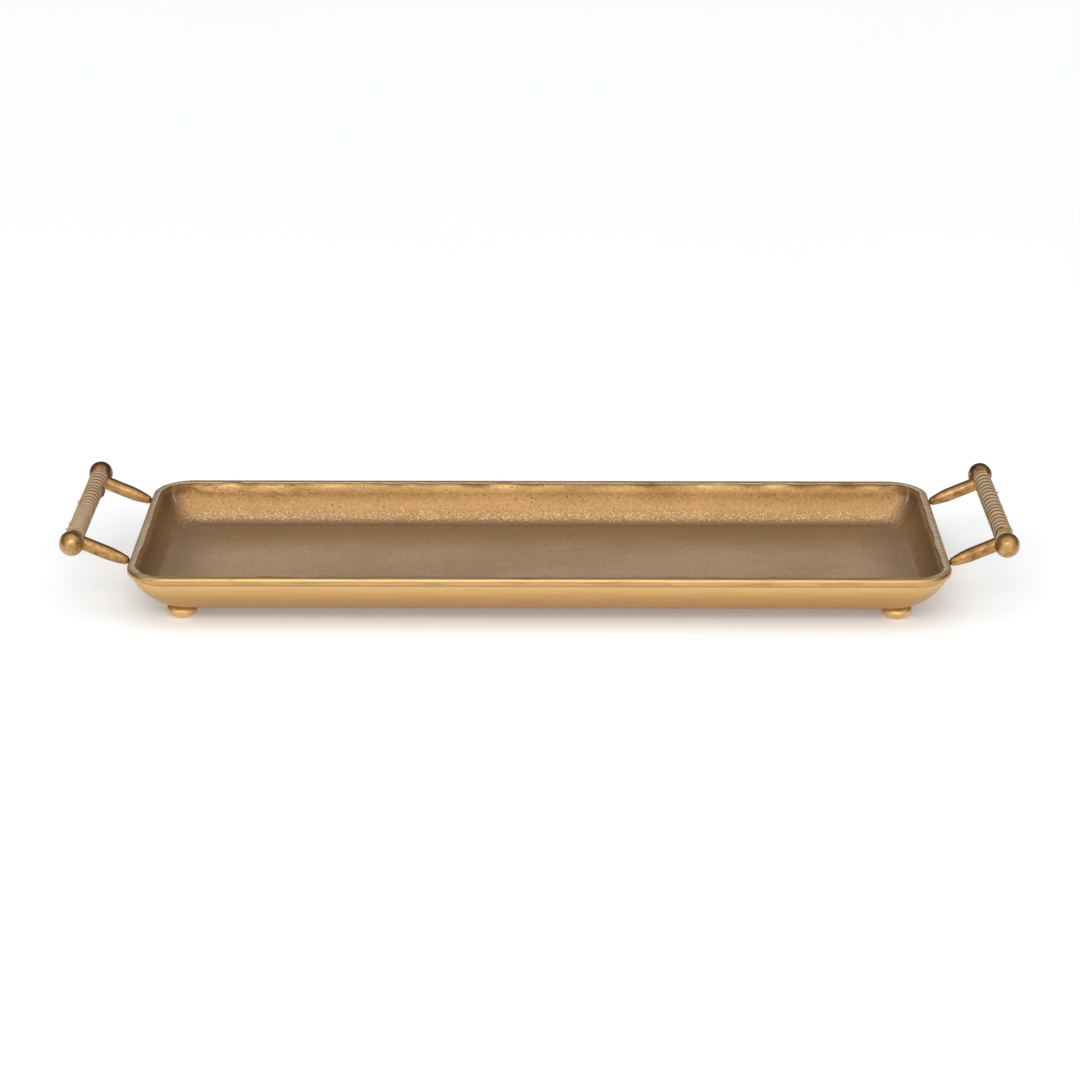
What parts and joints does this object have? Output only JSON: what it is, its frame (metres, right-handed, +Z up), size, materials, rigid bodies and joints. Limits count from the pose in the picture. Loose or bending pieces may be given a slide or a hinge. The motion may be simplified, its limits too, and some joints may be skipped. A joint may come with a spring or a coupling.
{
  "type": "serving tray",
  "caption": "Long rectangular cast brass tray with flared walls, bun feet and raised bar handles wrapped in flat lacing, with ball finials.",
  "frame": {"origin": "on the table, under the middle of the tray, at the height of the feet's flat bottoms", "axes": "+X along the tray towards the right handle, +Y across it towards the back long side, +Z up"},
  "size_m": [0.7598, 0.2302, 0.0742],
  "materials": {
    "cast_brass": "antique satin cast brass, brushed outside and granular inside",
    "turned_brass": "aged polished brass with dark patina in the recesses",
    "dark_brass": "dark patinated brass",
    "lacing": "matte tan flat lacing, tightly wound",
    "steel": "plain turned steel"
  },
  "bodies": {
    "root": {"tray_pan": "cast_brass", "foot_left_front": "turned_brass", "foot_left_back": "turned_brass", "foot_right_front": "turned_brass", "foot_right_back": "turned_brass", "foot_stud_left_front": "steel", "foot_stud_left_back": "steel", "foot_stud_right_front": "steel", "foot_stud_right_back": "steel", "post_left_front": "turned_brass", "post_left_back": "turned_brass", "post_right_front": "turned_brass", "post_right_back": "turned_brass", "post_stud_left_front": "steel", "post_stud_left_back": "steel", "post_stud_right_front": "steel", "post_stud_right_back": "steel", "grip_bar_left": "dark_brass", "grip_bar_right": "dark_brass", "hub_left_front": "dark_brass", "hub_left_back": "dark_brass", "hub_right_front": "dark_brass", "hub_right_back": "dark_brass", "finial_left_front": "turned_brass", "finial_left_back": "turned_brass", "finial_right_front": "turned_brass", "finial_right_back": "turned_brass", "wrap_left": "lacing", "wrap_right": "lacing"}
  },
  "joints": []
}
